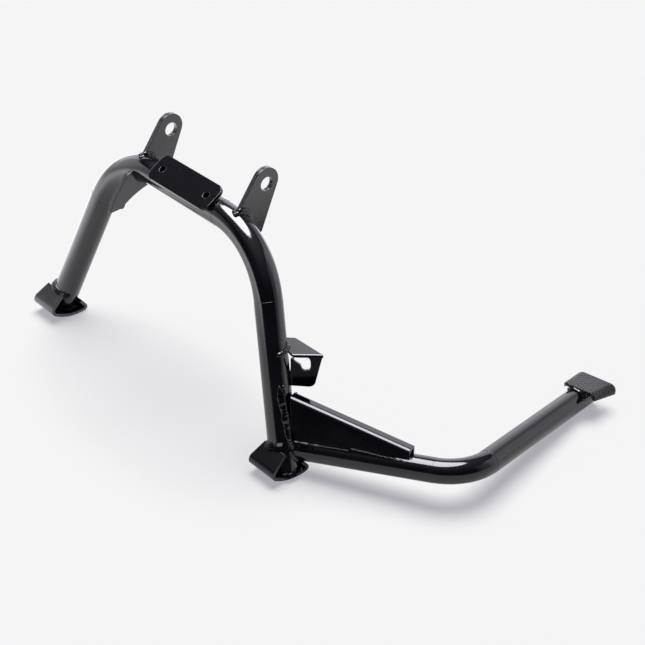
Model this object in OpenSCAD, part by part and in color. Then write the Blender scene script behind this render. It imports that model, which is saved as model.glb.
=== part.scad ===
// Motorcycle centre stand: one welded piece of bent tube and pressed plate.
// Origin: middle of the pivot axis. X runs along the pivot axis toward the lever side,
// Y runs rearward, Z runs up. The stand is shown lying on its two feet and the lever end.

/* [Main tube] */
// outside diameter of the bent main tube
tube_d = 25.4; // [20:0.1:35]
// wall of the main tube
tube_wall = 2.5; // [1.5:0.1:4]
// half the distance between the two points where the leg lines cross the top bar line
bar_half = 103.8; // [80:0.1:140]
// centreline radius of the two top bends
top_bend_r = 81.3; // [60:0.1:95]
// angle of each leg away from a plumb line, seen square to the frame
leg_splay = 20.8; // [12:0.1:28]
// angle by which the frame leans rearward going up
frame_lean = 11.74; // [0:0.01:20]
// height of the top bar line above the floor
bar_height = 192.5; // [150:0.5:240]

/* [Pivot lugs] */
// pivot axis height above the top bar line
pivot_up = 27.5; // [15:0.1:45]
// pivot axis distance behind the top bar line
pivot_back = 31.95; // [20:0.05:50]
// diameter of the pivot holes
pivot_hole_d = 13.3; // [8:0.1:18]
// distance between the middle planes of the two lugs
lug_span = 139.4; // [110:0.1:160]
// thickness of each lug plate
lug_t = 4.5; // [3:0.1:8]
// radius of the rounded lug end
lug_tip_r = 13.4; // [11:0.1:20]
// centre of the rounded end in front of the hole
lug_tip_forward = 0.4; // [0:0.1:3]
// centre of the rounded end above the hole
lug_tip_up = 2.1; // [0:0.1:4]
// slope of the front edge of the lug
lug_front_slope = 53; // [40:0.5:65]
// slope of the rear edge of the lug
lug_rear_slope = 66; // [55:0.5:80]
// length of the tail of the left lug, along its front edge from the hole level
tail_length = 88; // [70:0.5:100]
// width of the rounded end of the tail
tail_width = 5.6; // [4:0.1:9]
// how far the tail reaches forward of the front edge of the lug, behind the tube
tail_lead = 8.5; // [0:0.1:12]
// how much lower the tail is at its front corner
tail_drop = 7.5; // [0:0.1:12]
// how fast the tail widens toward the tube
tail_flare = 0.33; // [0.1:0.01:0.6]

/* [Stop plate] */
// length of the plate along the bar
stop_length = 86.7; // [60:0.1:100]
// width of the plate across the bar
stop_width = 28; // [20:0.1:36]
// thickness of the plate
stop_t = 3; // [2:0.1:5]
// tilt of the plate, front edge down
stop_tilt = 30.1; // [0:0.1:60]
// sideways shift of the plate toward the lever side
stop_shift_x = 2.2; // [-8:0.1:8]
// shift of the plate across the bar, rearward
stop_shift_s = 1.9; // [-5:0.1:5]
// corner radius of the plate
stop_corner_r = 7.5; // [2:0.1:12]
// distance between the two holes
stop_hole_span = 64; // [40:0.1:75]
// diameter of the two holes
stop_hole_d = 6.6; // [4:0.1:10]

/* [Feet] */
// width of each foot strip
foot_width = 33; // [27:0.1:45]
// thickness of the foot strip
foot_t = 3; // [2:0.1:4]
// radius of the rocker bottom, outside
rocker_r = 50; // [40:0.5:80]
// how far the lowest line of the rocker lies behind the leg line at the floor
rocker_back = 7; // [0:0.1:14]
// outside radius of the front nose bend
nose_r = 6.5; // [5:0.1:9]
// angle round the rocker to the nose
nose_angle = 32.4; // [24:0.1:38]
// outside radius of the rear curl
curl_r = 3.8; // [3.5:0.1:6]
// angle round the rocker to the rear curl
curl_angle = 9.5; // [5:0.1:16]
// slope of the front plate of the foot
foot_plate_slope = 35; // [25:0.5:50]
// length of the front plate of the foot
foot_plate_length = 16.8; // [12:0.1:24]
// side taper of the front plate, in degrees on each side
foot_taper = 10.5; // [0:0.5:14]

/* [Lever tube] */
// outside diameter of the lever tube
lever_d = 22.2; // [18:0.1:26]
// wall of the lever tube
lever_wall = 2; // [1.5:0.1:3]
// height of the lever line above the floor where it meets the right leg
lever_start_height = 21.4; // [16:0.1:40]
// how far the lever line passes behind the leg line
lever_behind = 4; // [0:0.1:8]
// direction of the first stretch, seen from above, from X toward Y
lever_turn_1 = 27.8; // [10:0.1:45]
// length of the first stretch, leg line to bend corner
lever_length_1 = 168.9; // [130:0.1:200]
// height of the bend corner above the floor
lever_bend_height = 35.3; // [20:0.1:50]
// direction of the second stretch, seen from above
lever_turn_2 = 100.04; // [80:0.01:120]
// length of the second stretch, bend corner to the open end
lever_length_2 = 203; // [150:0.1:240]
// centreline radius of the lever bend
lever_bend_r = 41.6; // [34:0.1:70]

/* [Gusset] */
// outside width of the folded gusset
gusset_width = 14; // [11:0.1:17]
// thickness of the gusset sheet
gusset_t = 2.5; // [1.5:0.1:3.5]
// lean of the gusset about the lever line, top rearward
gusset_lean = 12; // [0:0.5:20]
// start of the gusset along the lever
gusset_start = 9; // [6:0.1:16]
// end of the gusset along the lever
gusset_end = 119.6; // [90:0.1:124]
// height of the gusset at the leg, above the lever line
gusset_high = 50; // [30:0.1:60]
// height of the gusset at its outer end, above the lever line
gusset_low = 17.8; // [13:0.1:24]
// outside radius of the two long folds
gusset_fold_r = 4.2; // [3:0.1:6]

/* [Spring bracket] */
// height of the top flange above the floor
hook_height = 105; // [80:0.5:140]
// thickness of the bracket sheet
hook_t = 2.5; // [2:0.1:4]
// direction of the hook plate, seen from above
hook_turn = 47.1; // [35:0.1:60]
// distance of the near face of the hook plate from the leg line
hook_stand_off = 13.5; // [13.2:0.1:16]
// length of the hook plate along its top
hook_length = 25; // [20:0.1:32]
// depth of the hook plate
hook_drop = 33.2; // [26:0.1:40]
// radius of the round end of the hook slot
hook_slot_r = 4; // [3:0.1:5]
// depth of the middle of the round end below the flange
hook_slot_depth = 12.4; // [9:0.1:18]

/* [Lever pad] */
// width of the pad across the lever, at its rear edge
pad_width = 41; // [30:0.1:52]
// length of the pad along the lever
pad_length = 30; // [22:0.1:44]
// thickness of the pad
pad_t = 3; // [2:0.1:4]
// sideways shift of the pad toward the outside
pad_shift = 4.5; // [0:0.1:9]
// how much narrower the pad is at its front edge
pad_narrow = 5; // [0:0.1:8]
// outside radius of the pad side bends
pad_bend_r = 6; // [4:0.1:9]
// depth of the turned down outer side
pad_drop_outer = 9.2; // [7:0.1:14]
// how much shallower the outer side is at the front of the pad
pad_drop_taper = 2.8; // [0:0.1:6]
// how far round the inner side is bent, in degrees
pad_inner_bend = 72; // [40:1:90]
// radius of the pad corners on the inner side
pad_corner_r = 7; // [2:0.1:12]
// how far the pad reaches past the open end of the lever tube
pad_past_end = 3; // [0.5:0.1:6]

/* [Weld beads] */
// radius of the large weld beads
bead_r = 2.6; // [2:0.1:3.5]
// radius of the small weld beads
bead_small_r = 1.9; // [1.2:0.1:2.6]

/* [Hidden] */
$fn = 64;
cut = 400;
// straight stretches are a little thicker than the bends, as bending leaves them,
// and they reach this far into the bends
joint_step = 0.15;
joint_lap = 1;
// hairline by which flat outlines overlap where they join
hair = 0.02;
tube_r = tube_d / 2;
lever_r = lever_d / 2;
floor_z = -(bar_height + pivot_up);
bar_y = -pivot_back;
bar_z = -pivot_up;
// length of tube taken up by each bend, from corner to tangent point
top_arc = 90 - leg_splay;
top_setback = top_bend_r * tan(top_arc / 2);
bar_straight = bar_half - top_setback;
// in the plane of the frame: one unit down the leg
leg_dx = sin(leg_splay);
leg_down = cos(leg_splay);
leg_dir = [leg_dx, -leg_down * sin(frame_lean), -leg_down * cos(frame_lean)];
leg_reach = (bar_height + 20) / (leg_down * cos(frame_lean));
// point of the right leg line at a height above the floor
function leg_at(h) = [bar_half, bar_y, bar_z] + leg_dir * ((bar_height - h) / -leg_dir[2]);
foot_at = leg_at(0);
foot_x = leg_at(15)[0];
rocker_y = foot_at[1] + rocker_back;
rocker_z = floor_z + rocker_r;
nose_reach = rocker_r - nose_r;
nose_y = rocker_y - nose_reach * sin(nose_angle);
nose_z = rocker_z - nose_reach * cos(nose_angle);
curl_reach = rocker_r - curl_r;
curl_y = rocker_y + curl_reach * sin(curl_angle);
curl_z = rocker_z - curl_reach * cos(curl_angle);
curl_flange = 8.5;
// lever line
lever_p0 = leg_at(lever_start_height) + lever_behind * [-sin(lever_turn_1), cos(lever_turn_1), 0];
lever_rise_1 = asin((lever_bend_height - lever_start_height) / lever_length_1);
lever_d1 = [cos(lever_rise_1) * cos(lever_turn_1), cos(lever_rise_1) * sin(lever_turn_1), sin(lever_rise_1)];
lever_p1 = lever_p0 + lever_length_1 * lever_d1;
lever_fall_2 = asin((lever_bend_height - lever_r) / lever_length_2);
lever_d2 = [cos(lever_fall_2) * cos(lever_turn_2), cos(lever_fall_2) * sin(lever_turn_2), -sin(lever_fall_2)];
lever_p2 = lever_p1 + lever_length_2 * lever_d2;
lever_bend = acos(lever_d1 * lever_d2);
lever_setback = lever_bend_r * tan(lever_bend / 2);
lever_side = (lever_d2 - (lever_d1 * lever_d2) * lever_d1) / sin(lever_bend);
lever_tip = 90 - lever_rise_1;
lever_x_loc = [cos(lever_tip) * cos(lever_turn_1), cos(lever_tip) * sin(lever_turn_1), -sin(lever_tip)];
lever_y_loc = [-sin(lever_turn_1), cos(lever_turn_1), 0];
lever_roll = atan2(lever_side * lever_y_loc, lever_side * lever_x_loc);
// long bead from the foot of the gusset up the front of the leg
function leg_skin(h, a) = leg_at(h) + (tube_r - 0.9) * [cos(a), sin(a), 0];
gusset_bead_low = leg_skin(34, -6);
gusset_bead_run = leg_skin(73, -19) - gusset_bead_low;
gusset_bead_lean = acos(gusset_bead_run[2] / norm(gusset_bead_run));
gusset_bead_turn = atan2(gusset_bead_run[1], gusset_bead_run[0]);
// gusset side view
gusset_slope = atan((gusset_high - gusset_low) / (gusset_end - gusset_start));
gusset_seat = sqrt(lever_r * lever_r - gusset_width * gusset_width / 4) - 1;
// lug outline points, seen along the pivot axis
tip_c = [-lug_tip_forward, lug_tip_up];
front_u = [cos(lug_front_slope), sin(lug_front_slope)];
front_n = [-sin(lug_front_slope), cos(lug_front_slope)];
rear_u = [cos(lug_rear_slope), sin(lug_rear_slope)];
rear_n = [sin(lug_rear_slope), -cos(lug_rear_slope)];
front_t = tip_c + lug_tip_r * front_n;
rear_t = tip_c + lug_tip_r * rear_n;
lug_neck = 46;
lug_skirt = 20;
lug_seat_drop = 8;
lug_seat_rise = 4;
lug_front_run = 32;
lug_heel = rear_t - lug_neck * rear_u;
tail_end = front_t - tail_length * front_u;
tail_r = tail_width / 2;
tail_run = 41;
// width of the tail at a distance from its end
function tail_wide(u) = tail_width * 0.93 + tail_flare * u + 0.0103 * u * u;
function tail_point(u, w) = tail_end + u * front_u - w * front_n;
// centre of the tube in the plane of a lug
lug_in_bend = max(lug_span / 2 - bar_straight, 0);
lug_tube_drop = top_bend_r - sqrt(top_bend_r * top_bend_r - lug_in_bend * lug_in_bend);
lug_tube = [bar_y - lug_tube_drop * sin(frame_lean), bar_z - lug_tube_drop * cos(frame_lean)];

// bend and leg of the main tube outline, right side, in the plane of the frame
module half_frame(r) {
    translate([bar_straight, 0, -top_bend_r])
        rotate([90, 0, 0])
            rotate([0, 0, leg_splay])
                rotate_extrude(angle = top_arc, $fn = 160)
                    translate([top_bend_r, 0])
                        circle(r = r);
    translate([bar_half, 0, 0])
        rotate([0, 180 - leg_splay, 0])
            translate([0, 0, top_setback - joint_lap])
                cylinder(h = leg_reach - top_setback, r = r + joint_step);
}

// the whole main tube outline at a given radius
module frame_solid(r) {
    translate([0, bar_y, bar_z])
        rotate([-frame_lean, 0, 0]) {
            translate([-bar_straight - joint_lap, 0, 0])
                rotate([0, 90, 0])
                    cylinder(h = 2 * (bar_straight + joint_lap), r = r + joint_step);
            half_frame(r);
            mirror([1, 0, 0])
                half_frame(r);
        }
}

// right leg alone as a round bar, for fitting the parts welded to it
module leg_bar(r) {
    translate(leg_at(-10))
        rotate([-frame_lean, 0, 0])
            rotate([0, -leg_splay, 0])
                cylinder(h = 150, r = r + joint_step);
}

// the same bar, ending on the inside face of the foot
module leg_end_bar(r) {
    difference() {
        leg_bar(r);
        under_feet();
    }
}

// everything under the inside face of the foot rockers
module under_feet() {
    difference() {
        translate([-cut, rocker_y - 60, floor_z - 30])
            cube([2 * cut, 120, 30 + rocker_r]);
        translate([-cut - 1, rocker_y, rocker_z])
            rotate([0, 90, 0])
                cylinder(h = 2 * cut + 2, r = rocker_r - foot_t, $fn = 240);
    }
}

module main_tube() {
    color([0.05, 0.05, 0.055])
        difference() {
            frame_solid(tube_r);
            frame_solid(tube_r - tube_wall);
            under_feet();
        }
}

// frame of the lever: Z runs along the first stretch
module at_lever() {
    translate(lever_p0)
        rotate([0, lever_tip, lever_turn_1])
            rotate([0, 0, lever_roll])
                children();
}

// lever tube outline at a given radius
module lever_solid(r) {
    at_lever() {
        cylinder(h = lever_length_1 - lever_setback + joint_lap, r = r + joint_step);
        translate([lever_bend_r, 0, lever_length_1 - lever_setback])
            rotate([90, 0, 0])
                rotate([0, 0, 180 - lever_bend])
                    rotate_extrude(angle = lever_bend, $fn = 120)
                        translate([lever_bend_r, 0])
                            circle(r = r);
        translate([0, 0, lever_length_1])
            rotate([0, lever_bend, 0])
                translate([0, 0, lever_setback - joint_lap])
                    cylinder(h = lever_length_2 - lever_setback + joint_lap, r = r + joint_step);
    }
}

module lever_tube() {
    color([0.05, 0.05, 0.055])
        difference() {
            lever_solid(lever_r);
            lever_solid(lever_r - lever_wall);
            at_lever()
                translate([0, 0, lever_length_1])
                    rotate([0, lever_bend, 0])
                        translate([0, 0, lever_length_2 - 1])
                            cylinder(h = 5, r = lever_r - lever_wall);
            leg_bar(tube_r);
        }
}

// plain lug of a given thickness, drawn along the pivot axis
module lug_blank(t) {
    translate([tip_c[0], tip_c[1], 0])
        cylinder(h = t, r = lug_tip_r);
    linear_extrude(height = t)
        polygon([front_t + hair * front_n, rear_t + hair * rear_n, lug_heel,
            [lug_heel[0] - lug_skirt, lug_heel[1]], [lug_tube[0], lug_tube[1] - lug_seat_drop],
            [lug_tube[0] - lug_seat_rise, lug_tube[1] + lug_seat_rise],
            front_t - lug_front_run * front_u + hair * front_n]);
}

// lug with the tail below the tube
module tail_blank(t) {
    steps = 10;
    translate([tip_c[0], tip_c[1], 0])
        cylinder(h = t, r = lug_tip_r);
    translate([tail_point(tail_r, tail_r)[0], tail_point(tail_r, tail_r)[1], 0])
        cylinder(h = t, r = tail_r);
    linear_extrude(height = t)
        polygon(concat([tail_point(-tail_drop, -0.75 * tail_lead), tail_point(tail_r, -tail_lead),
            tail_point(0.36 * tail_length, -tail_lead), tail_point(0.5 * tail_length, -hair),
            front_t + hair * front_n,
            rear_t + hair * rear_n, lug_heel],
            [for (i = [0:steps]) tail_point(tail_r + 3 + tail_run * (1 - i / steps),
                tail_wide(tail_run * (1 - i / steps)))],
            [tail_point(tail_r, tail_width + hair), tail_point(0.2, tail_r)]));
}

module at_lug(side, t) {
    translate([side * lug_span / 2 - t / 2, 0, 0])
        rotate([90, 0, 90])
            children();
}

module pivot_hole() {
    translate([0, 0, -1])
        cylinder(h = lug_t + 2, r = pivot_hole_d / 2);
}

module left_lug() {
    color([0.05, 0.05, 0.055])
        difference() {
            at_lug(-1, lug_t)
                difference() {
                    tail_blank(lug_t);
                    pivot_hole();
                }
            frame_solid(tube_r);
        }
}

module right_lug() {
    color([0.05, 0.05, 0.055])
        difference() {
            at_lug(1, lug_t)
                difference() {
                    lug_blank(lug_t);
                    pivot_hole();
                }
            frame_solid(tube_r);
        }
}

module at_stop() {
    translate([stop_shift_x, bar_y, bar_z])
        rotate([stop_tilt, 0, 0])
            translate([0, stop_shift_s, tube_r + joint_step])
                children();
}

module stop_blank() {
    difference() {
        square([stop_length, stop_width], center = true);
        for (sx = [-1, 1])
            for (sy = [-1, 1])
                translate([sx * stop_length / 2, sy * stop_width / 2])
                    difference() {
                        square(2 * stop_corner_r, center = true);
                        translate([-sx * stop_corner_r, -sy * stop_corner_r])
                            circle(r = stop_corner_r);
                    }
    }
}

module stop_plate() {
    color([0.05, 0.05, 0.055])
        at_stop()
            linear_extrude(height = stop_t)
                difference() {
                    stop_blank();
                    for (sx = [-1, 1])
                        translate([sx * stop_hole_span / 2, 0])
                            circle(r = stop_hole_d / 2);
                }
}

// part of a round strip between two angles, less than a half turn apart
module arc_band(r_out, t, a0, a1) {
    am = (a0 + a1) / 2;
    far = 2 * r_out;
    intersection() {
        difference() {
            circle(r = r_out, $fn = 160);
            circle(r = r_out - t, $fn = 160);
        }
        polygon([[0, 0], far * [cos(a0), sin(a0)], 1.5 * far * [cos(am), sin(am)],
            far * [cos(a1), sin(a1)]]);
    }
}

// foot strip seen along X: rocker, nose, front plate, rear curl
module foot_profile() {
    lap = 0.3;
    thick = foot_t + 2 * hair;
    translate([rocker_y, rocker_z])
        arc_band(rocker_r + hair, thick, 270 - nose_angle - lap, 270 + curl_angle + lap);
    translate([nose_y, nose_z]) {
        arc_band(nose_r, foot_t, 90 + foot_plate_slope, 270 - nose_angle);
        rotate(foot_plate_slope)
            translate([-lap, nose_r - foot_t - hair])
                square([foot_plate_length + lap, thick]);
    }
    translate([curl_y, curl_z]) {
        arc_band(curl_r, foot_t, 270 + curl_angle, 397);
        rotate(37)
            translate([curl_r - foot_t - hair, -lap])
                square([thick, curl_flange + lap]);
    }
}

module right_foot_shape() {
    difference() {
        translate([foot_x - foot_width / 2, 0, 0])
            rotate([90, 0, 90])
                linear_extrude(height = foot_width)
                    foot_profile();
        leg_end_bar(tube_r);
        for (s = [-1, 1])
            translate([foot_x + s * foot_width / 2, nose_y, nose_z])
                rotate([foot_plate_slope, 0, 0])
                    rotate([0, 0, s * foot_taper])
                        translate([s > 0 ? 0 : -20, -1, nose_r - foot_t - 3])
                            cube([20, foot_plate_length + 10, 9]);
    }
}

module right_foot() {
    color([0.05, 0.05, 0.055])
        difference() {
            right_foot_shape();
            lever_solid(lever_r);
        }
}

module left_foot() {
    color([0.05, 0.05, 0.055])
        mirror([1, 0, 0])
            right_foot_shape();
}

// frame of the gusset: X along the lever, Y across, Z up in the gusset plane
module at_gusset() {
    translate(lever_p0)
        rotate([0, -lever_rise_1, lever_turn_1])
            rotate([-gusset_lean, 0, 0])
                children();
}

module gusset_section(w, r, depth) {
    translate([-w / 2, -depth])
        square([w, depth - r]);
    translate([-w / 2 + r, -r - 0.01])
        square([w - 2 * r, r + 0.01]);
    for (s = [-1, 1])
        translate([s * (w / 2 - r), -r])
            circle(r = r);
}

module gusset() {
    long = gusset_end + 60;
    color([0.05, 0.05, 0.055])
        difference() {
            at_gusset()
                intersection() {
                    translate([0, 0, gusset_high + gusset_start * tan(gusset_slope)])
                        rotate([0, gusset_slope, 0])
                            rotate([90, 0, 90])
                                linear_extrude(height = long)
                                    difference() {
                                        gusset_section(gusset_width, gusset_fold_r, 90);
                                        translate([0, -gusset_t])
                                            gusset_section(gusset_width - 2 * gusset_t,
                                                gusset_fold_r - gusset_t, 90);
                                    }
                    translate([0, gusset_width, 0])
                        rotate([90, 0, 0])
                            linear_extrude(height = 2 * gusset_width)
                                polygon([[gusset_start + 1, gusset_seat], [gusset_end - 1.5, gusset_seat],
                                    [gusset_end, gusset_high], [gusset_start - 0.8, gusset_high + 10]]);
                }
            lever_solid(lever_r);
            leg_bar(tube_r);
        }
}

// frame of the spring bracket: origin on the leg line at flange height, X along the hook plate
module at_hook() {
    translate(leg_at(hook_height))
        rotate([0, 0, hook_turn])
            children();
}

hook_x0 = 19;
hook_rear = 23.3;
hook_slot_x = 10.4;
hook_tongue = 3;

// plate of the spring bracket, with the slot open toward the leg
module hook_plate_blank() {
    difference() {
        union() {
            polygon([[0, 0], [hook_length, 0], [hook_length - 6.5, -hook_drop + 4],
                [hook_length - 12, -hook_drop], [-hook_tongue - 1, -hook_drop + 1],
                [-hook_tongue - 1, -hook_drop + 12], [-hook_tongue, -hook_slot_depth - 1],
                [-hook_tongue, -3]]);
            translate([hook_length - 12.2, -hook_drop + 6])
                circle(r = 6);
        }
        translate([hook_slot_x, -hook_slot_depth])
            circle(r = hook_slot_r);
        polygon([[-8, -3.1], [-8, 4], [0, 4], [0, -hook_t], [hook_slot_x + 1.9, -hook_t],
            [hook_slot_x + 3.3, -hook_t - 1.4], [hook_slot_x + hook_slot_r, -hook_t - 4.4],
            [hook_slot_x + hook_slot_r, -hook_slot_depth],
            [hook_slot_x - hook_slot_r, -hook_slot_depth],
            [hook_slot_x - hook_slot_r - 1, -hook_slot_depth + 2],
            [hook_slot_x - hook_slot_r - 3.8, -hook_slot_depth + 4.2],
            [0.1, -hook_slot_depth + 6.3], [-hook_tongue, -hook_slot_depth + 7.5],
            [-8, -hook_slot_depth + 7.5]]);
    }
}

// what the rounded fold takes off the outer edge of the bracket
module hook_fold_cut() {
    translate([hook_x0 - 6, -hook_stand_off + hook_t, -hook_t])
        rotate([90, 0, 90])
            linear_extrude(height = hook_length + 12)
                difference() {
                    translate([-hook_t - 1, 0])
                        square([hook_t + 1, hook_t + 1]);
                    circle(r = hook_t);
                }
}

module spring_hook() {
    color([0.05, 0.05, 0.055])
        difference() {
            at_hook() {
                translate([hook_x0, -hook_stand_off + hook_t, 0])
                    rotate([90, 0, 0])
                        linear_extrude(height = hook_t)
                            hook_plate_blank();
                translate([hook_x0 - hook_tongue, -hook_stand_off + hook_t - 0.01, -hook_drop + 1])
                    cube([hook_t, 14, hook_drop - hook_slot_depth - 2]);
                translate([0, 0, -hook_t])
                    linear_extrude(height = hook_t)
                        polygon([[hook_x0, -hook_stand_off], [hook_x0 + hook_length, -hook_stand_off],
                            [hook_x0 + hook_length + 0.4, -hook_stand_off + 1],
                            [hook_x0 + 0.2, hook_rear - 10], [5, hook_rear - 9], [8, 4],
                            [hook_x0 - 3, -hook_stand_off + 3]]);
            }
            at_hook()
                hook_fold_cut();
            leg_bar(tube_r);
        }
}

// frame of the lever pad: X across, Y along the lever, Z away from the floor
module at_pad() {
    translate(lever_p2)
        rotate([0, 0, lever_turn_2 - 90])
            rotate([-lever_fall_2, 0, 0])
                children();
}

pad_top = lever_r + joint_step + pad_t;
pad_in = pad_shift - pad_width / 2;
pad_out = pad_shift + pad_width / 2;
pad_front = pad_past_end - pad_length;
pad_skew = atan(pad_narrow / pad_length);

// cutter that leaves one rounded corner on the pad
module pad_corner(y, sy) {
    translate([pad_in, y, 0])
        linear_extrude(height = 40)
            difference() {
                square(2 * pad_corner_r, center = true);
                translate([pad_corner_r, sy * pad_corner_r])
                    circle(r = pad_corner_r);
            }
}

module pad_outer_side() {
    translate([pad_out, pad_past_end, 0])
        rotate([0, 0, -pad_skew])
            translate([-pad_bend_r, 6, pad_top - pad_bend_r])
                rotate([90, 0, 0])
                    linear_extrude(height = pad_length + 12) {
                        arc_band(pad_bend_r, pad_t, 0, 90);
                        translate([pad_bend_r - pad_t - hair, -pad_drop_outer])
                            square([pad_t + 2 * hair, pad_drop_outer + 0.3]);
                    }
}

module pad_inner_side() {
    translate([pad_in + pad_bend_r, pad_past_end, pad_top - pad_bend_r])
        rotate([90, 0, 0])
            linear_extrude(height = pad_length)
                arc_band(pad_bend_r, pad_t, 90, 90 + pad_inner_bend);
}

module lever_pad() {
    color([0.05, 0.05, 0.055])
        at_pad()
            difference() {
                union() {
                    intersection() {
                        pad_outer_side();
                        translate([-cut, pad_front, -cut])
                            cube([2 * cut, pad_length, 2 * cut]);
                    }
                    pad_inner_side();
                    translate([0, 0, pad_top - pad_t - hair])
                        linear_extrude(height = pad_t + 2 * hair)
                            polygon([[pad_in + pad_bend_r - 0.3, pad_front],
                                [pad_out - pad_narrow - pad_bend_r + 0.3, pad_front],
                                [pad_out - pad_bend_r + 0.3, pad_past_end],
                                [pad_in + pad_bend_r - 0.3, pad_past_end]]);
                }
                pad_corner(pad_front, 1);
                pad_corner(pad_past_end, -1);
                translate([0, pad_past_end, pad_top - pad_drop_outer])
                    rotate([-atan(pad_drop_taper / pad_length), 0, 0])
                        translate([pad_bend_r, -pad_length - 6, -12])
                            cube([cut, pad_length + 12, 12]);
            }
}

// square fillet along both faces of a lug, close to the tube
module lug_bead(side) {
    intersection() {
        at_lug(side, lug_t + 2 * bead_r)
            linear_extrude(height = lug_t + 2 * bead_r)
                polygon([tip_c, lug_heel + [-3, 1], [lug_heel[0] - 17, lug_heel[1] + 1],
                    [lug_tube[0], lug_tube[1] - 8], [lug_tube[0] - 2, lug_tube[1] + 4],
                    front_t - 30 * front_u - 1.5 * front_n, front_t - 10 * front_u - 1.5 * front_n]);
        frame_solid(tube_r + bead_r);
    }
}

module left_lug_weld() {
    color([0.06, 0.06, 0.065])
        difference() {
            lug_bead(-1);
            frame_solid(tube_r);
            at_lug(-1, lug_t)
                tail_blank(lug_t);
        }
}

module right_lug_weld() {
    color([0.06, 0.06, 0.065])
        difference() {
            lug_bead(1);
            frame_solid(tube_r);
            at_lug(1, lug_t)
                lug_blank(lug_t);
        }
}

stop_bead_in = 9;
stop_bead_side = 7.6;
stop_bead_sink = 1.6;

module stop_plate_weld() {
    color([0.06, 0.06, 0.065])
        difference() {
            translate([stop_shift_x - stop_length / 2 + stop_bead_in, bar_y, bar_z])
                rotate([stop_tilt, 0, 0])
                    for (s = [-1, 1])
                        translate([0, s * stop_bead_side, tube_r - stop_bead_sink])
                            rotate([0, 90, 0])
                                cylinder(h = stop_length - 2 * stop_bead_in, r = bead_small_r);
            frame_solid(tube_r);
            at_stop()
                linear_extrude(height = stop_t)
                    stop_blank();
        }
}

// bead where the top edge of the front plate meets the leg
module foot_bead() {
    translate(leg_at(foot_bead_height))
        rotate([-frame_lean, 0, 0])
            rotate([0, -leg_splay, 0])
                rotate([0, 0, 215])
                    rotate_extrude(angle = 110)
                        translate([tube_r + 0.5, 0])
                            circle(r = bead_small_r, $fn = 24);
}

foot_bead_height = nose_z - floor_z + nose_r * cos(foot_plate_slope)
    + foot_plate_length * sin(foot_plate_slope);

module right_foot_weld() {
    color([0.06, 0.06, 0.065])
        difference() {
            foot_bead();
            leg_bar(tube_r);
            right_foot_shape();
            lever_solid(lever_r);
        }
}

module left_foot_weld() {
    color([0.06, 0.06, 0.065])
        mirror([1, 0, 0])
            difference() {
                foot_bead();
                leg_bar(tube_r);
                right_foot_shape();
            }
}

// the lever tube near the leg as a solid bar
module lever_root(r) {
    at_lever()
        cylinder(h = 40, r = r + joint_step);
}

module lever_weld() {
    color([0.06, 0.06, 0.065])
        difference() {
            intersection() {
                leg_bar(tube_r + bead_small_r);
                lever_root(lever_r + bead_small_r);
                at_lever()
                    translate([-20, -20, 5])
                        cube([40, 40, 30]);
            }
            leg_bar(tube_r);
            lever_root(lever_r);
            right_foot_shape();
            gusset();
        }
}

module gusset_leg_weld() {
    color([0.06, 0.06, 0.065])
        difference() {
            union() {
                at_gusset()
                    translate([gusset_start - 1.2, gusset_width / 2 - 0.8, 14])
                        rotate([0, -6, 0])
                            cylinder(h = gusset_high - 18, r = bead_r + 0.6);
                translate(gusset_bead_low)
                    rotate([0, gusset_bead_lean, gusset_bead_turn])
                        cylinder(h = norm(gusset_bead_run), r = bead_r + 1.2);
            }
            leg_bar(tube_r);
            lever_root(lever_r);
            gusset();
        }
}

module gusset_lever_weld() {
    color([0.06, 0.06, 0.065])
        difference() {
            at_gusset()
                for (s = [-1, 1])
                    translate([gusset_start + 12, s * (gusset_width / 2 + 0.3), gusset_seat + 0.6])
                        rotate([0, 90, 0])
                            cylinder(h = gusset_end - gusset_start - 20, r = bead_small_r);
            lever_solid(lever_r);
            gusset();
        }
}

module spring_hook_weld() {
    color([0.06, 0.06, 0.065])
        difference() {
            intersection() {
                leg_bar(tube_r + bead_r);
                at_hook()
                    translate([0, -hook_stand_off + 2, -0.01])
                        cube([30, 2 * hook_stand_off, bead_small_r]);
            }
            leg_bar(tube_r);
        }
}

module lever_pad_weld() {
    color([0.06, 0.06, 0.065])
        difference() {
            at_pad()
                translate([0, pad_front - 0.6, 0])
                    rotate([90, 0, 0])
                        rotate([0, 0, 25])
                            rotate_extrude(angle = 130)
                                translate([lever_r + 0.6, 0])
                                    circle(r = bead_r, $fn = 24);
            lever_solid(lever_r);
            at_pad()
                translate([-pad_width, pad_front, -pad_width])
                    cube([2 * pad_width, 2 * pad_length, 2 * pad_width]);
        }
}

main_tube();
left_lug();
right_lug();
stop_plate();
left_foot();
right_foot();
lever_tube();
gusset();
spring_hook();
lever_pad();
left_lug_weld();
right_lug_weld();
stop_plate_weld();
left_foot_weld();
right_foot_weld();
lever_weld();
gusset_leg_weld();
gusset_lever_weld();
spring_hook_weld();
lever_pad_weld();
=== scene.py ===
import math
import random

import bpy
from mathutils import Matrix, Vector


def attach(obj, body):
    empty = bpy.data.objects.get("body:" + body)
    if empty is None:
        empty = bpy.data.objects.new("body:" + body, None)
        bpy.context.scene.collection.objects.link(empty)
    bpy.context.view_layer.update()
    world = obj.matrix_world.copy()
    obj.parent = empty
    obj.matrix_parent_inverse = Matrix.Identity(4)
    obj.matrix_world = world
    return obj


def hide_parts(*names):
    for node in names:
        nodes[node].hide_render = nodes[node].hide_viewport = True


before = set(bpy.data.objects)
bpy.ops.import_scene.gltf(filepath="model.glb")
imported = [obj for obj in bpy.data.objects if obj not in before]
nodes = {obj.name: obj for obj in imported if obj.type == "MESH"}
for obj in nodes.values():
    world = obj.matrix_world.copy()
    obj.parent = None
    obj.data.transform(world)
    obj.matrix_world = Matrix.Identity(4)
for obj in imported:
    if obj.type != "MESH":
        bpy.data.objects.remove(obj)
scene = bpy.context.scene

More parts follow.
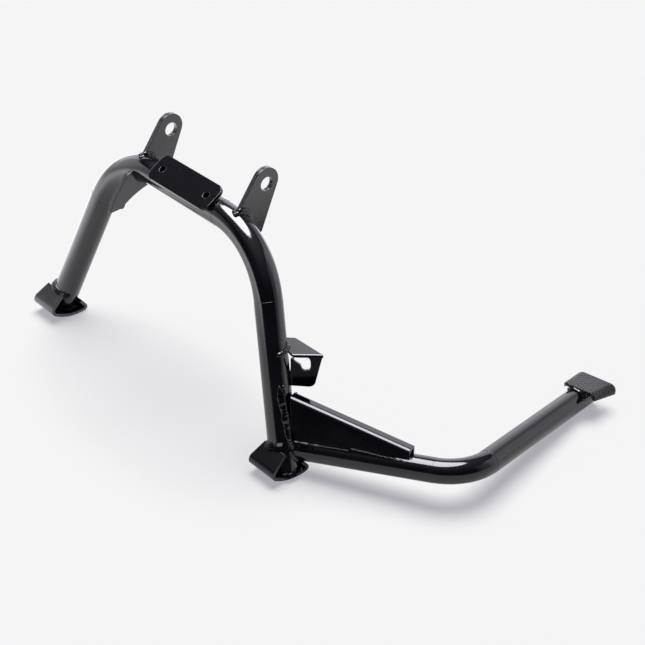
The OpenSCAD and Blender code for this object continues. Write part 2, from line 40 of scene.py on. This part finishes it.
MM = 0.001
X, Y, Z = Vector((1, 0, 0)), Vector((0, 1, 0)), Vector((0, 0, 1))

# Sizes of the stand that the welds need, in mm and degrees, as in the part's source.
TUBE_R = 12.7
LEVER_R = 11.1
BAR_HALF = 103.8
BAR_HEIGHT = 192.5
TOP_BEND_R = 81.3
PIVOT_UP = 27.5
PIVOT_BACK = 31.95
LEG_SPLAY = 20.8
FRAME_LEAN = 11.74
LUG_MID = 69.7
LUG_THICK = 4.5
FOOT_PLATE_TOP = 26.7
LEVER_START_HEIGHT = 21.4
LEVER_BEHIND = 4.0
LEVER_BEND_HEIGHT = 35.3
LEVER_LENGTH_1, LEVER_TURN_1 = 168.9, 27.8
LEVER_LENGTH_2, LEVER_TURN_2 = 203.0, 100.04
GUSSET_LEAN = 12.0
HOOK_HEIGHT = 105.0
HOOK_TURN = 47.1
PAD_PAST_END, PAD_LENGTH = 3.0, 30.0


def sin(deg):
    return math.sin(math.radians(deg))


def cos(deg):
    return math.cos(math.radians(deg))


def turned(about_x, about_y, about_z):
    """Axes after turning about X, then Y, then Z."""
    turns = ((about_z, "Z"), (about_y, "Y"), (about_x, "X"))
    rz, ry, rx = (Matrix.Rotation(math.radians(deg), 3, axis) for deg, axis in turns)
    return [column.copy() for column in (rz @ ry @ rx).col]


# Lines and frames of the stand, worked out from those sizes, in mm.
FLOOR_LEVEL = -(BAR_HEIGHT + PIVOT_UP)
LEG_BASE = Vector((BAR_HALF, -PIVOT_BACK, -PIVOT_UP))
FRAME_DOWN = Vector((0, -sin(FRAME_LEAN), -cos(FRAME_LEAN)))
LEG_DIR = X * sin(LEG_SPLAY) + FRAME_DOWN * cos(LEG_SPLAY)


def leg_at(h):
    """Point on the centre line of the right leg at a height over the floor."""
    return LEG_BASE + LEG_DIR * ((BAR_HEIGHT - h) / -LEG_DIR.z)


def leg_skin(h, deg, off=0.0):
    """Point on the surface of the right leg at a plan angle, and the way out of it."""
    out = Vector((cos(deg), sin(deg), 0))
    square = out - out.dot(LEG_DIR) * LEG_DIR
    return leg_at(h) + out * ((TUBE_R + off) / square.length), square.normalized()


# where the tube passes through the lugs, a little down the top bends
BEND_START = BAR_HALF - TOP_BEND_R * math.tan(math.radians((90 - LEG_SPLAY) / 2))
LUG_DROP = TOP_BEND_R - math.sqrt(TOP_BEND_R ** 2 - (LUG_MID - BEND_START) ** 2)
LUG_SEAT = Vector((0, -PIVOT_BACK, -PIVOT_UP)) + FRAME_DOWN * LUG_DROP

LEVER_RISE = math.degrees(math.asin((LEVER_BEND_HEIGHT - LEVER_START_HEIGHT) / LEVER_LENGTH_1))
LEVER_FALL = math.degrees(math.asin((LEVER_BEND_HEIGHT - LEVER_R) / LEVER_LENGTH_2))
LEVER_DIR = turned(0, -LEVER_RISE, LEVER_TURN_1)[0]
LEVER_SIDE = Vector((-sin(LEVER_TURN_1), cos(LEVER_TURN_1), 0))
LEVER_ROOT = leg_at(LEVER_START_HEIGHT) + LEVER_SIDE * LEVER_BEHIND
PAD_ACROSS, PAD_ALONG, PAD_UP = turned(-LEVER_FALL, 0, LEVER_TURN_2 - 90)
LEVER_END = LEVER_ROOT + LEVER_DIR * LEVER_LENGTH_1 + PAD_ALONG * LEVER_LENGTH_2
GUSSET_X, GUSSET_Y, GUSSET_Z = turned(-GUSSET_LEAN, -LEVER_RISE, LEVER_TURN_1)


def at_gusset(x, y, z):
    """Point given along the lever, across the gusset and up its side."""
    return LEVER_ROOT + GUSSET_X * x + GUSSET_Y * y + GUSSET_Z * z


# Shader building.
def node(tree, kind, **values):
    n = tree.nodes.new(kind)
    for key, value in values.items():
        setattr(n, key, value)
    return n


def calc(tree, op, *values):
    """Math node whose inputs are numbers or sockets."""
    n = node(tree, "ShaderNodeMath", operation=op)
    for socket, value in zip(n.inputs, values):
        if isinstance(value, (int, float)):
            socket.default_value = value
        else:
            tree.links.new(value, socket)
    return n.outputs[0]


def span(tree, value, low, high, to_low=0.0, to_high=1.0, kind="LINEAR"):
    """Map a value from one range to another, held at the ends."""
    n = node(tree, "ShaderNodeMapRange", interpolation_type=kind)
    ends = {"From Min": low, "From Max": high, "To Min": to_low, "To Max": to_high}
    for label, v in ends.items():
        n.inputs[label].default_value = v
    tree.links.new(value, n.inputs["Value"])
    return n.outputs["Result"]


def noise(tree, coord, scale, detail):
    n = node(tree, "ShaderNodeTexNoise")
    n.inputs["Scale"].default_value = scale
    n.inputs["Detail"].default_value = detail
    tree.links.new(coord, n.inputs["Vector"])
    return n.outputs["Fac"]


def blend(tree, amount, first, second):
    """Mix two colours, each a triple or a socket."""
    n = node(tree, "ShaderNodeMix", data_type="RGBA")
    tree.links.new(amount, n.inputs[0])
    for socket, value in ((n.inputs[6], first), (n.inputs[7], second)):
        if isinstance(value, tuple):
            socket.default_value = (*value, 1)
        else:
            tree.links.new(value, socket)
    return n.outputs[2]


def bump(tree, height, normal, strength):
    n = node(tree, "ShaderNodeBump")
    n.inputs["Strength"].default_value = strength
    n.inputs["Distance"].default_value = 0.4 * MM
    tree.links.new(height, n.inputs["Height"])
    tree.links.new(normal, n.inputs["Normal"])
    return n.outputs["Normal"]


# Sprayed paint: what its surface does, shared by every finish.
PEEL_SCALE, HAZE_SCALE, SPECK_SCALE = 420, 34, 1500


def surface_group(name, edge):
    """Rounded edges, orange peel, slow haze, specks and the thin paint on edges."""
    g = bpy.data.node_groups.new(name, "ShaderNodeTree")
    g.interface.new_socket("Round", in_out="OUTPUT", socket_type="NodeSocketVector")
    for label in ("Peel", "Haze", "Specks", "Edge"):
        g.interface.new_socket(label, in_out="OUTPUT", socket_type="NodeSocketFloat")
    out = node(g, "NodeGroupOutput")
    coord = node(g, "ShaderNodeTexCoord").outputs["Object"]
    bevel = node(g, "ShaderNodeBevel", samples=6)
    bevel.inputs["Radius"].default_value = edge
    flatness = node(g, "ShaderNodeVectorMath", operation="DOT_PRODUCT")
    g.links.new(bevel.outputs[0], flatness.inputs[0])
    g.links.new(node(g, "ShaderNodeNewGeometry").outputs["Normal"], flatness.inputs[1])
    masks = {
        "Round": bevel.outputs[0],
        "Peel": noise(g, coord, PEEL_SCALE, 2),
        "Haze": span(g, noise(g, coord, HAZE_SCALE, 4), 0.35, 0.68),
        "Specks": span(g, noise(g, coord, SPECK_SCALE, 1), 0.68, 0.8),
        "Edge": span(g, flatness.outputs["Value"], 0.992, 0.93),
    }
    for label, socket in masks.items():
        g.links.new(socket, out.inputs[label])
    return g


PLAIN = surface_group("paint over round work", 0.3 * MM)
SHEET = surface_group("paint over sheet", 0.8 * MM)
SOFT = surface_group("paint over pad", 2.6 * MM)
ROUND = surface_group("paint over pressed rims", 1.4 * MM)

# Diamond tread of the pad: two waves crossed at 45 degrees to the lever, worn away toward
# the edges of the pad.
TREAD_SCALE = 92
TREAD_TURN = 45 - 10
TREAD_BACK, TREAD_RAISE = 21.7, 1.3
TREAD_MIDDLE = (LEVER_END - PAD_ALONG * TREAD_BACK + PAD_UP * TREAD_RAISE) * MM
TREAD_INNER, TREAD_OUTER, TREAD_LEFT = 18 * MM, 30 * MM, 0.3


def tread_height(tree):
    coord = node(tree, "ShaderNodeTexCoord").outputs["Object"]
    place = node(tree, "ShaderNodeMapping")
    place.inputs["Rotation"].default_value = (0, 0, math.radians(TREAD_TURN))
    tree.links.new(coord, place.inputs["Vector"])
    waves = []
    for way in "XY":
        wave = node(tree, "ShaderNodeTexWave", bands_direction=way)
        wave.inputs["Scale"].default_value = TREAD_SCALE
        tree.links.new(place.outputs[0], wave.inputs["Vector"])
        waves.append(wave.outputs["Fac"])
    middle = node(tree, "ShaderNodeVectorMath", operation="DISTANCE")
    middle.inputs[1].default_value = TREAD_MIDDLE
    tree.links.new(coord, middle.inputs[0])
    left = span(tree, middle.outputs["Value"], TREAD_INNER, TREAD_OUTER, 1.0, TREAD_LEFT)
    return calc(tree, "MULTIPLY", calc(tree, "MAXIMUM", *waves), left)


WORN = (0.045, 0.045, 0.048)
WORN_SHARE = 0.35


def paint(name, group, glossy, dull, rough, specular, tilt=(0, 0, 0), peel=0.06, tread=False,
          flat_coat=None):
    """Black paint: two colours and two roughnesses that the haze runs between.

    tilt leans the mirror image, flat_coat adds clear gloss to level faces.
    """
    m = bpy.data.materials.new(name)
    m.use_nodes = True
    t = m.node_tree
    shader = t.nodes["Principled BSDF"]
    shader.inputs["Specular IOR Level"].default_value = specular
    surface = node(t, "ShaderNodeGroup", node_tree=group).outputs

    leaning = node(t, "ShaderNodeVectorMath", operation="ADD")
    leaning.inputs[1].default_value = tilt
    t.links.new(surface["Round"], leaning.inputs[0])
    unit = node(t, "ShaderNodeVectorMath", operation="NORMALIZE")
    t.links.new(leaning.outputs[0], unit.inputs[0])
    normal = bump(t, surface["Peel"], unit.outputs[0], peel)
    haze = surface["Haze"]
    if tread:
        haze = tread_height(t)
        normal = bump(t, haze, normal, 0.5)
    t.links.new(normal, shader.inputs["Normal"])

    wear = calc(t, "MULTIPLY", calc(t, "MAXIMUM", surface["Specks"], surface["Edge"]), WORN_SHARE)
    t.links.new(blend(t, wear, blend(t, haze, glossy, dull), WORN), shader.inputs["Base Color"])
    t.links.new(span(t, surface["Haze"], 0, 1, *rough), shader.inputs["Roughness"])
    if flat_coat is not None:
        facing = node(t, "ShaderNodeSeparateXYZ")
        t.links.new(node(t, "ShaderNodeNewGeometry").outputs["Normal"], facing.inputs[0])
        coat = span(t, facing.outputs[2], 0.25, 0.6, 0.0, flat_coat)
        t.links.new(coat, shader.inputs["Coat Weight"])
        shader.inputs["Coat Roughness"].default_value = rough[0]
    return m


INK = (0.0028, 0.0024, 0.0052)
DULL = (0.0070, 0.0064, 0.0102)
CHALK = (0.0160, 0.0152, 0.0205)
# The next grey is paler than the paint itself. It is painted reflected light, used only on the
# left foot and its weld.
PAINTED_SHEEN_GREY = (0.030, 0.029, 0.036)

TUBE = paint("gloss black paint on tube", PLAIN, INK, DULL, (0.06, 0.12), 0.74)
LEVER = paint("gloss black paint on lever", PLAIN, INK, DULL, (0.06, 0.12), 0.5)
LUG = paint("satin black paint on lug", SHEET, CHALK, (0.026, 0.0255, 0.031), (0.16, 0.28), 1.0)
STOP = paint("gloss black paint on stop", ROUND, INK, INK, (0.07, 0.12), 0.33)
GUSSET = paint("gloss black paint on gusset", SHEET, INK, INK, (0.07, 0.12), 0.5,
               tilt=(0, 0, 0.17), peel=0.03)
HOOK = paint("gloss black paint on bracket", SHEET, INK, INK, (0.09, 0.16), 0.10, flat_coat=1.0)
# The left foot gets paler colours and a rougher finish than the right foot. The paler colour is
# painted reflected light that makes this foot look brighter.
PAINTED_LIGHT_LEFT_FOOT = paint("black paint on left foot, paler as painted reflection", SHEET, CHALK, PAINTED_SHEEN_GREY, (0.20, 0.32), 1.0,
                  tilt=(0, -0.10, -0.12))
RIGHT_FOOT = paint("gloss black paint on right foot", SHEET, INK, DULL, (0.08, 0.14), 0.45)
PAD = paint("satin black paint on pad", SOFT, (0.014, 0.0135, 0.018), (0.062, 0.061, 0.069),
            (0.20, 0.30), 0.15, tread=True)
BEAD = paint("gloss black paint on weld", PLAIN, INK, INK, (0.08, 0.16), 0.5)
# The weld on the left foot takes the same paler colours, as painted reflected light to match that
# foot.
PAINTED_LIGHT_FOOT_BEAD = paint("black paint on left foot weld, paler as painted reflection", PLAIN, CHALK, PAINTED_SHEEN_GREY, (0.30, 0.42), 0.35)
LOW_BEAD = paint("black paint on lower weld", PLAIN, INK, INK, (0.22, 0.34), 0.10)

FINISH = {
    "main_tube": TUBE, "lever_tube": LEVER, "left_lug": LUG, "right_lug": LUG,
    "stop_plate": STOP, "gusset": GUSSET, "spring_hook": HOOK, "lever_pad": PAD,
    "left_foot": PAINTED_LIGHT_LEFT_FOOT, "right_foot": RIGHT_FOOT,
}
for name, o in nodes.items():
    o.data.materials.clear()
    o.data.materials.append(FINISH.get(name, BEAD))

# Weld beads. A weld is a row of puddles, and each puddle is a place, the way the weld runs,
# the way out of the metal, and its three half sizes, all in mm. SKIN is the fineness of the
# fused skin.
SKIN = 0.42
GRAIN_HEIGHT = 0.10
PUDDLE_SINK = 0.25
RUN_LEAN = -10
GRAIN = bpy.data.textures.new("weld grain", "CLOUDS")
GRAIN.noise_scale = 1.6 * MM


def run(path, gap, width, height, seed, wander=0.25):
    """Puddles along a path of (point, way out) pairs; width may depend on the puddle's number."""
    rnd = random.Random(seed)
    puddles = []
    left = 0.0
    for (p, p_out), (q, q_out) in zip(path, path[1:]):
        step = q - p
        along = step.normalized()
        at = left
        while at < step.length:
            k = at / step.length
            out = p_out.lerp(q_out, k).normalized()
            wide = width(len(puddles)) if callable(width) else width
            aside = out.cross(along) * rnd.uniform(-wander, wander)
            place = p.lerp(q, k) + aside - out * rnd.uniform(0, PUDDLE_SINK)
            size = (gap * rnd.uniform(1.2, 1.5), wide / 2 * rnd.uniform(0.9, 1.1),
                    height * rnd.uniform(0.85, 1.15))
            puddles.append((place, along, out, size))
            at += gap
        left = at - step.length
    return puddles


def mirrored(puddles):
    """The same weld on the left side."""
    def across(v):
        return Vector((-v.x, v.y, v.z))
    return [(across(p), across(along), across(out), size) for p, along, out, size in puddles]


def bead(name, puddles, stands_for=None, finish=BEAD, soft_passes=5, lean=RUN_LEAN):
    """One weld: the puddles overlap, leaning along the run, and are fused into one skin."""
    bpy.ops.object.select_all(action="DESELECT")
    for k, (place, along, out, size) in enumerate(puddles):
        x = along.normalized()
        y = out.cross(x).normalized()
        axes = Matrix((x, y, x.cross(y))).transposed()
        turn = (axes @ Matrix.Rotation(math.radians(lean), 3, "Y")).to_euler()
        bpy.ops.mesh.primitive_uv_sphere_add(segments=16, ring_count=8, radius=MM,
                                             location=place * MM, rotation=turn, scale=size)
        if k == 0:
            piece = bpy.context.object
            piece.name = name
            bpy.ops.object.transform_apply(location=True, rotation=True, scale=True)
            bpy.ops.object.mode_set(mode="EDIT")
    bpy.ops.object.mode_set(mode="OBJECT")
    fuse = piece.modifiers.new("fuse", "REMESH")
    fuse.mode = "VOXEL"
    fuse.voxel_size = SKIN * MM
    soft = piece.modifiers.new("soft", "SMOOTH")
    soft.factor = 0.5
    soft.iterations = soft_passes
    grain = piece.modifiers.new("grain", "DISPLACE")
    grain.texture = GRAIN
    grain.strength = GRAIN_HEIGHT * MM
    for modifier in ("fuse", "soft", "grain"):
        bpy.ops.object.modifier_apply(modifier=modifier)
    bpy.ops.object.shade_smooth()
    piece.data.materials.clear()
    piece.data.materials.append(finish)
    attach(piece, "root")
    if stands_for:
        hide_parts(stands_for)


def evenly(start, end, count):
    """Angles or lengths from start to end in equal steps."""
    return [start + (end - start) * k / count for k in range(count + 1)]


def ring(centre, a, b, radius, start, end, lean, face, count=24):
    """Arc in the plane of a and b; its way out leans toward a face by an angle in radians."""
    path = []
    for deg in evenly(start, end, count):
        out = a * cos(deg) + b * sin(deg)
        up = out * math.cos(lean) + face * math.sin(lean)
        path.append((centre + out * radius, up.normalized()))
    return path


# Lug welds: round the top and rear of the tube on both faces, a second pass on the face
# toward the lever, and a lump where they meet in front.
def lug_weld(side, seed):
    middle = LUG_SEAT + X * (side * LUG_MID)
    puddles = []
    for k, face in enumerate((X, -X)):
        arc = ring(middle + face * (LUG_THICK / 2 + 0.6), Y, Z, TUBE_R + 0.5, 90, -38, 0.7, face)
        puddles += run(arc, gap=2.4, width=4.6, height=1.9, seed=seed + k)
    second = ring(middle + X * (LUG_THICK / 2 + 0.3), Y, Z, TUBE_R + 3.2, 78, 40, 0.9, X, 12)
    puddles += run(second, gap=2.6, width=5.0, height=1.7, seed=seed + 5, wander=0.7)
    for across, deg in ((-1.6, 97), (0.0, 100), (1.6, 103)):
        place = middle + X * across + (Y * cos(deg) + Z * sin(deg)) * (TUBE_R + 0.6)
        puddles.append((place, X, Vector((0, -0.55, 0.83)), (2.4, 2.0, 1.9)))
    return puddles


bead("left_lug_bead", lug_weld(-1, seed=11), "left_lug_weld")
bead("right_lug_bead", lug_weld(1, seed=23), "right_lug_weld")

# Foot welds: two passes round the front of each leg, where the top of the foot meets it.
LEG_ACROSS = Vector((cos(LEG_SPLAY), 0, sin(LEG_SPLAY)))
LEG_FRONT = -LEG_DIR.cross(LEG_ACROSS).normalized()


def foot_arc(start, end):
    return ring(leg_at(FOOT_PLATE_TOP), LEG_ACROSS, LEG_FRONT, TUBE_R + 0.6, start, end, 0.5,
                -LEG_DIR)


def foot_weld(start, end, seed):
    puddles = run(foot_arc(start, end), gap=2.6, width=4.8, height=1.6, seed=seed)
    lower = run(foot_arc(start + 8, end - 6), gap=2.4, width=5.6, height=1.4, seed=seed + 1,
                wander=0.3)
    for p, along, out, size in lower:
        off = (out - out.dot(LEG_DIR) * LEG_DIR).normalized()
        puddles.append((p + LEG_DIR * 1.6 + off * 1.7, along, out, size))
    return puddles


bead("right_foot_bead", foot_weld(196, 325, seed=41), "right_foot_weld", LOW_BEAD,
     soft_passes=9, lean=0)
# The left foot's weld is painted paler, as painted reflected light.
bead("left_foot_bead", mirrored(foot_weld(215, 352, seed=47)), "left_foot_weld", PAINTED_LIGHT_FOOT_BEAD,
     soft_passes=9, lean=0)

# Lumps where the cut ends of the legs sit in the feet.
LEG_END_HEIGHT = 6.5


def leg_end_weld(start, end, seed):
    path = []
    for deg in evenly(start, end, 16):
        p, out = leg_skin(LEG_END_HEIGHT, deg, 1.0)
        path.append((p, (out + Z * 0.9).normalized()))
    return run(path, gap=2.8, width=5.6, height=2.2, seed=seed, wander=0.7)


bead("right_leg_end_bead", leg_end_weld(-115, 75, seed=53), finish=LOW_BEAD)
bead("left_leg_end_bead", mirrored(leg_end_weld(255, 65, seed=59)), finish=LOW_BEAD)


# Two tack spots that catch the light beside the right foot.
def tack(h, way, off, out, size):
    place = leg_at(h) + Vector(way).normalized() * (TUBE_R + off)
    return place, X, Vector(out).normalized(), size


tacks = [tack(22, (0.35, -0.90, 0.25), 1.0, (0.0, -0.45, 0.9), (2.5, 1.9, 1.7)),
         tack(20, (0.52, -0.83, 0.20), 1.2, (0.1, -0.45, 0.9), (2.7, 2.1, 1.9))]
bead("right_foot_tack", tacks, soft_passes=2)


# Gusset welds on the lever: a thick end, a thin run and a short pass near the leg on the near
# side, and one run on the far side. Each goes between two places along x and up z.
def lever_run(x, y, z, **puddle):
    out = (GUSSET_Y * math.copysign(1, y) + GUSSET_Z * 0.25).normalized()
    places = zip(evenly(*x, 10), evenly(*z, 10))
    return run([(at_gusset(along, y, up), out) for along, up in places], **puddle)


def thick_end(k):
    return 6.6 - 0.2 * k


lever_welds = lever_run((66, 114), -7.6, (8.4, 6.6), gap=3.0, width=thick_end, height=1.9, seed=61)
lever_welds += lever_run((14, 66), -8.0, (7.2, 7.8), gap=2.6, width=3.6, height=1.3, seed=65)
lever_welds += lever_run((16, 30), -8.6, (5.2, 4.6), gap=3.4, width=4.6, height=1.7, seed=67)
lever_welds += lever_run((22, 110), 7.4, (7.4, 7.0), gap=2.2, width=4.4, height=1.8, seed=71)
bead("gusset_lever_bead", lever_welds, "gusset_lever_weld", LOW_BEAD)

# Gusset welds on the leg: the long leaf on the near side and the run at its foot, both as
# heights and plan angles on the leg, and a run on the far side.
LEAF = ((76, -25), (70, -21), (62, -16), (54, -12), (46, -8), (38, -6))
LEAF_FOOT = ((36, -6), (30, 2), (25, 8), (20, 12))
LEAF_WIDTHS = (3.6, 5.4, 7.0, 8.2, 9.0, 9.4, 9.6)
LEAF_PUDDLE = 4.6


def leaf_width(k):
    return LEAF_WIDTHS[min(k, len(LEAF_WIDTHS) - 1)]


leaf = run([leg_skin(h, deg, -0.2) for h, deg in LEAF], gap=1.5, width=leaf_width, height=2.0,
           seed=73, wander=0.05)
leaf = [(p, along, out, (LEAF_PUDDLE, *size[1:])) for p, along, out, size in leaf]
leaf += run([leg_skin(h, deg, 0.6) for h, deg in LEAF_FOOT], gap=3.0, width=7.0, height=2.4,
            seed=79, wander=0.9)
far_out = (GUSSET_Y - GUSSET_X * 0.6).normalized()
far_run = [(at_gusset(7.6, 8.4, z), far_out) for z in (14, 26, 38, 46)]
leaf += run(far_run, gap=2.8, width=5.0, height=2.0, seed=83)
bead("gusset_leg_bead", leaf, "gusset_leg_weld", soft_passes=16, lean=0)


# Weld of the lever to the leg, along the line where the two tubes meet.
def root_path(start, end, off=0.6, reach=26.0, feel=0.1):
    """Feels back along the lever's surface at each angle until the leg is met."""
    above = LEVER_DIR.cross(LEVER_SIDE).normalized()
    path = []
    for deg in evenly(start, end, 24):
        out = LEVER_SIDE * cos(deg) + above * sin(deg)
        s = reach
        while s > 0:
            p = LEVER_ROOT + LEVER_DIR * s + out * (LEVER_R + off)
            from_leg = p - LEG_BASE
            if (from_leg - from_leg.dot(LEG_DIR) * LEG_DIR).length < TUBE_R + off:
                break
            s -= feel
        path.append((p, (out + LEVER_DIR * 0.7).normalized()))
    return path


root = run(root_path(-200, 100), gap=2.8, width=4.4, height=1.5, seed=89)
bead("lever_root_bead", root, "lever_weld")

# Spring bracket weld: round the leg over the flange, with a tack lower down.
BRACKET_REACH = 62
over = []
for deg in evenly(HOOK_TURN - BRACKET_REACH, HOOK_TURN + BRACKET_REACH, 16):
    p, out = leg_skin(HOOK_HEIGHT, deg, 0.8)
    over.append((p + Z * 0.4, (out + Z).normalized()))
bracket = run(over, gap=2.6, width=4.6, height=1.6, seed=97)
bracket_tack = [leg_skin(h, -12, 0.4) for h in (73, 76, 79)]
bracket += run(bracket_tack, gap=1.8, width=3.6, height=1.6, seed=101)
bead("bracket_bead", bracket, "spring_hook_weld")


# Pad weld: over the lever where the front edge of the pad ends, growing toward the outer side.
def pad_width(k):
    return 4.0 + 0.25 * k


pad_front = LEVER_END + PAD_ALONG * (PAD_PAST_END - PAD_LENGTH - 0.6)
pad_arc = ring(pad_front, PAD_ACROSS, PAD_UP, LEVER_R + 0.6, 124, 36, -0.55, PAD_ALONG)
pad_puddles = run(pad_arc, gap=2.4, width=pad_width, height=2.0, seed=103, wander=0.3)
bead("pad_bead", pad_puddles, "lever_pad_weld")

# Pale floor. Part of its tone is its own, so that shadows stay soft. Toward the left it is
# brighter to reflected rays alone, for the pale things beyond the picture; the brightness grows
# from SHEEN_NEAR and dies away at SHEEN_FAR, both places along X in metres.
TINT = (0.985, 0.970, 1.060)
FLOOR_TONE = 0.913
FLOOR_OWN_SHARE = 0.42
FLOOR_ALBEDO = 0.545
SHEEN = 1.5
SHEEN_NEAR = (-0.14, -0.38)
SHEEN_FAR = (-1.5, -0.45)
bpy.ops.object.select_all(action="DESELECT")
bpy.ops.mesh.primitive_plane_add(size=60, location=(0, 0, FLOOR_LEVEL * MM))
floor = bpy.context.object
floor.name = "pale studio floor"
floor_paint = bpy.data.materials.new("pale floor")
floor_paint.use_nodes = True
ft = floor_paint.node_tree
face = ft.nodes["Principled BSDF"]
face.inputs["Base Color"].default_value = (FLOOR_ALBEDO, FLOOR_ALBEDO, FLOOR_ALBEDO, 1)
face.inputs["Roughness"].default_value = 1
face.inputs["Specular IOR Level"].default_value = 0
face.inputs["Emission Color"].default_value = (*TINT, 1)
where = node(ft, "ShaderNodeSeparateXYZ")
ft.links.new(node(ft, "ShaderNodeTexCoord").outputs["Object"], where.inputs[0])
glossy_ray = node(ft, "ShaderNodeLightPath").outputs["Is Glossy Ray"]
patch = calc(ft, "MULTIPLY", span(ft, where.outputs[0], *SHEEN_NEAR, 0.0, SHEEN),
             span(ft, where.outputs[0], *SHEEN_FAR))
lift = calc(ft, "MULTIPLY_ADD", patch, glossy_ray, FLOOR_TONE * FLOOR_OWN_SHARE)
ft.links.new(lift, face.inputs["Emission Strength"])
floor.data.materials.append(floor_paint)

# Surroundings. One plain level lights the stand; the paint mirrors walls, a soft box and a
# dark ceiling. Azimuths are degrees about Z, heights are rise over run.
LIGHT_LEVEL = 0.08
WALL_TOP = ((-180, 0.50), (-150, 0.50), (-125, 0.36), (5, 1.0), (60, 1.0), (75, 0.80),
            (138, 0.78), (152, 0.46), (180, 0.50))
WALL_LIGHT = ((-180, 1.35), (-152, 1.25), (-138, 0.7), (-118, 0.0), (8, 0.0), (24, 0.42),
              (38, 0.5), (52, 1.2), (80, 1.2), (97, 0.6), (118, 1.7), (135, 2.0), (152, 1.2),
              (168, 2.0), (180, 1.35))
WALL_BLUR = (-0.03, 0.05)
CEILING_RISE = (0.3, 1.0)
CEILING_LIGHT = (0.03, 0.09)
BOX_MIDDLE = (-0.33, 0.03)
BOX_EDGE = (0.50, 0.43)
BOX_LIGHT = 16.0
GLOW_EDGE = (1.5, 0.5)
GLOW_LIGHT = 0.22

world = bpy.data.worlds.new("studio")
scene.world = world
world.use_nodes = True
wt = world.node_tree


def around_z(azimuth, points):
    """Height over azimuth, up to 2, in straight pieces between points given in degrees."""
    ramp = node(wt, "ShaderNodeValToRGB")
    wt.links.new(azimuth, ramp.inputs[0])
    stops = ramp.color_ramp.elements
    while len(stops) < len(points):
        stops.new(0.5)
    for stop, (deg, height) in zip(stops, points):
        stop.position = (deg + 180) / 360
        stop.color = (height / 2, height / 2, height / 2, 1)
    return calc(wt, "MULTIPLY", ramp.outputs[0], 2.0)


def fade(value, low, high):
    return span(wt, value, low, high, kind="SMOOTHSTEP")


def length(a, b):
    squares = (calc(wt, "MULTIPLY", a, a), calc(wt, "MULTIPLY", b, b))
    return calc(wt, "SQRT", calc(wt, "ADD", *squares))


split = node(wt, "ShaderNodeSeparateXYZ")
wt.links.new(node(wt, "ShaderNodeTexCoord").outputs["Generated"], split.inputs[0])
wx, wy, wz = split.outputs
part_turn = calc(wt, "DIVIDE", calc(wt, "ARCTAN2", wy, wx), 2 * math.pi)
azimuth = calc(wt, "ADD", part_turn, 0.5)
climb = calc(wt, "DIVIDE", wz, calc(wt, "MAXIMUM", length(wx, wy), 0.001))
below_top = calc(wt, "SUBTRACT", around_z(azimuth, WALL_TOP), climb)
wall = calc(wt, "MULTIPLY", around_z(azimuth, WALL_LIGHT), fade(below_top, *WALL_BLUR))
overhead = calc(wt, "MAXIMUM", wz, 0.02)
from_box = [calc(wt, "SUBTRACT", calc(wt, "DIVIDE", w, overhead), middle)
            for w, middle in ((wx, BOX_MIDDLE[0]), (wy, BOX_MIDDLE[1]))]
reach = length(*from_box)
box = calc(wt, "MULTIPLY", fade(reach, *BOX_EDGE), BOX_LIGHT)
glow = calc(wt, "MULTIPLY", fade(reach, *GLOW_EDGE), GLOW_LIGHT)
ceiling = span(wt, climb, *CEILING_RISE, *CEILING_LIGHT, kind="SMOOTHSTEP")
room = calc(wt, "MAXIMUM", wall, ceiling)
mirrored_view = calc(wt, "ADD", calc(wt, "ADD", room, glow), box)
pick = node(wt, "ShaderNodeMix", data_type="FLOAT")
wt.links.new(node(wt, "ShaderNodeLightPath").outputs["Is Glossy Ray"], pick.inputs[0])
pick.inputs[2].default_value = LIGHT_LEVEL
wt.links.new(mirrored_view, pick.inputs[3])
sky = wt.nodes["Background"]
sky.inputs["Color"].default_value = (*TINT, 1)
wt.links.new(pick.outputs[0], sky.inputs["Strength"])

# Wide soft light from above, left out of the reflections, where the soft box stands for it.
LAMP_POWER = 2.95
LAMP_SPREAD = 46
LAMP_WAY = Vector((0.19, -0.27, -1))
lamp = bpy.data.lights.new("soft overhead", "SUN")
lamp.energy = LAMP_POWER
lamp.angle = math.radians(LAMP_SPREAD)
lamp.color = (1.010, 1.020, 0.962)
overhead_lamp = bpy.data.objects.new("soft overhead", lamp)
scene.collection.objects.link(overhead_lamp)
overhead_lamp.rotation_euler = LAMP_WAY.to_track_quat("-Z", "Y").to_euler()
overhead_lamp.visible_glossy = False

# Camera at the photo's angle: its place in metres, the way it looks, the level line of the
# picture, its roll in degrees and its lens in mm.
CAMERA_AT = (1.0331, -0.7770, 0.6751)
LOOK = Vector((-0.6266, 0.5489, -0.5533)).normalized()
LEVEL = Vector((0.6589, 0.7522, 0))
ROLL = 0.11
LENS = 89.62
level = (LEVEL - LEVEL.dot(LOOK) * LOOK).normalized()
upright = level.cross(LOOK).normalized()
right = cos(ROLL) * level + sin(ROLL) * upright
top = cos(ROLL) * upright - sin(ROLL) * level
lens = bpy.data.cameras.new("camera")
lens.sensor_width = 36
lens.lens = LENS
lens.clip_start = 0.01
lens.clip_end = 100
camera = bpy.data.objects.new("camera", lens)
scene.collection.objects.link(camera)
camera_axes = Matrix((right, top, -LOOK)).transposed().to_4x4()
camera.matrix_world = Matrix.Translation(CAMERA_AT) @ camera_axes
scene.camera = camera
scene.view_settings.view_transform = "Standard"
